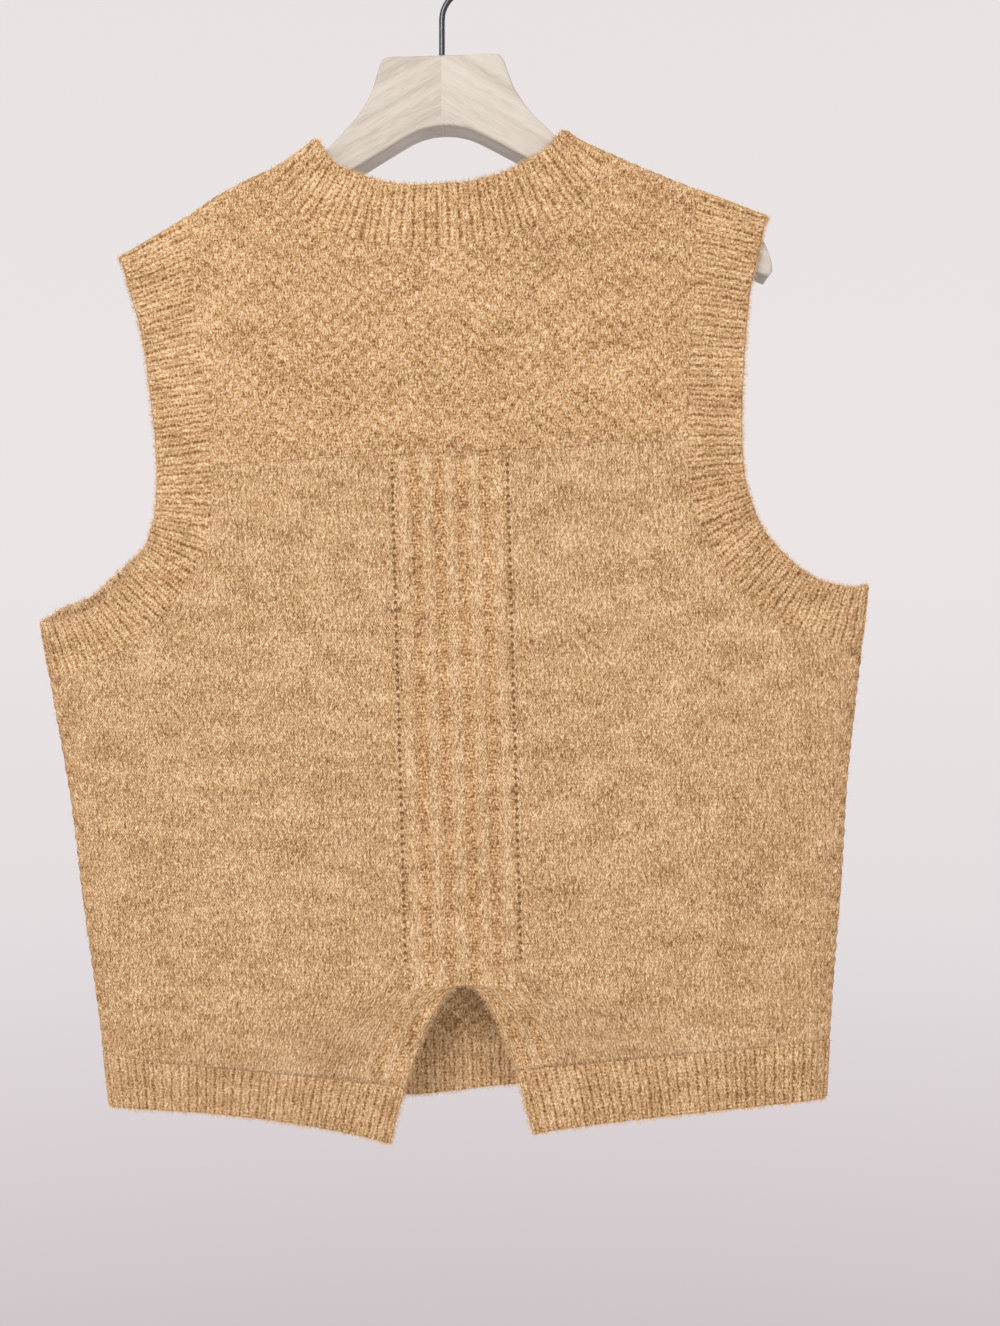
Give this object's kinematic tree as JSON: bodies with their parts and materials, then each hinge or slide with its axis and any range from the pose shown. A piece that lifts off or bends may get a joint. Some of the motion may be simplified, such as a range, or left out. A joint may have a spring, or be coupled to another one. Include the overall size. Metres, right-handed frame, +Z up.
{
  "type": "knitted sweater vest on a wooden hanger",
  "caption": "Sleeveless ribbed-edge knit vest with a split hem, hanging flat on a wooden hanger with a round steel hook",
  "frame": {"origin": "inside top of the hook, where a rail carries the hanger", "axes": "+Z up along the hanging cloth, -Y out of the shown side, +X to the right of the shown side"},
  "size_m": [0.4977, 0.0412, 0.7376],
  "materials": {
    "knit": "soft heathered wool knit, camel",
    "rib": "soft heathered wool rib, camel",
    "wood": "pale limed ash, satin",
    "steel": "dark polished wire"
  },
  "bodies": {
    "root": {"back_panel": "knit", "front_panel": "knit", "neckband": "rib", "armband_left": "rib", "armband_right": "rib", "hem_back_left": "rib", "hem_back_right": "rib", "hem_front": "rib", "hanger_left": "wood", "hanger_right": "wood", "hook": "steel"}
  },
  "joints": []
}
